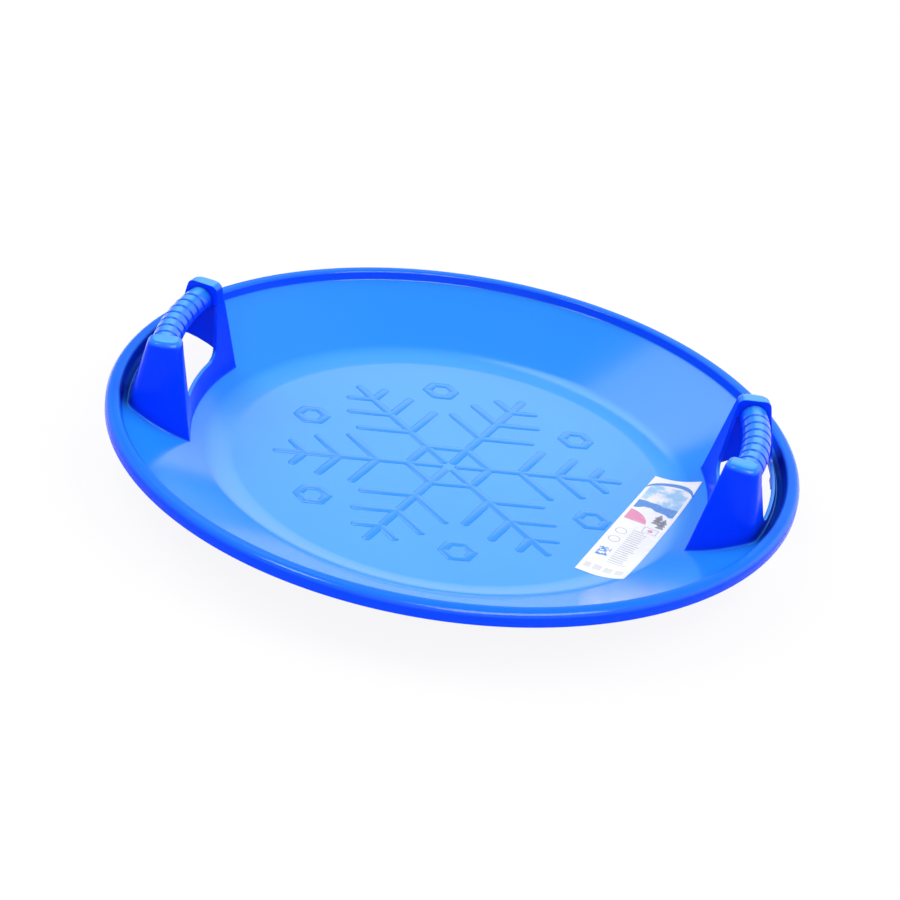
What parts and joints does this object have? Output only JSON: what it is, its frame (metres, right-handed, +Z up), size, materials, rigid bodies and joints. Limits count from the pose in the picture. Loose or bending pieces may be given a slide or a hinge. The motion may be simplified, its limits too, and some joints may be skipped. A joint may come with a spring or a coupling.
{
  "type": "saucer sled",
  "caption": "Round moulded saucer sled: a shallow dish with a flat floor, sloping wall and rolled rim, and a raised, ribbed hand-hold at each side.",
  "frame": {"origin": "on the ground under the middle of the dish", "axes": "+Z up, +X through the right hand-hold, -Y towards the front"},
  "size_m": [0.6, 0.6, 0.0995],
  "materials": {
    "dish_plastic": "glossy moulded polyethylene, bright blue",
    "handle_plastic": "glossy moulded polyethylene, bright blue",
    "label_film": "smooth white film with a plain printed panel"
  },
  "bodies": {
    "root": {"dish": "dish_plastic", "left_handle": "handle_plastic", "right_handle": "handle_plastic", "label": "label_film"}
  },
  "joints": []
}
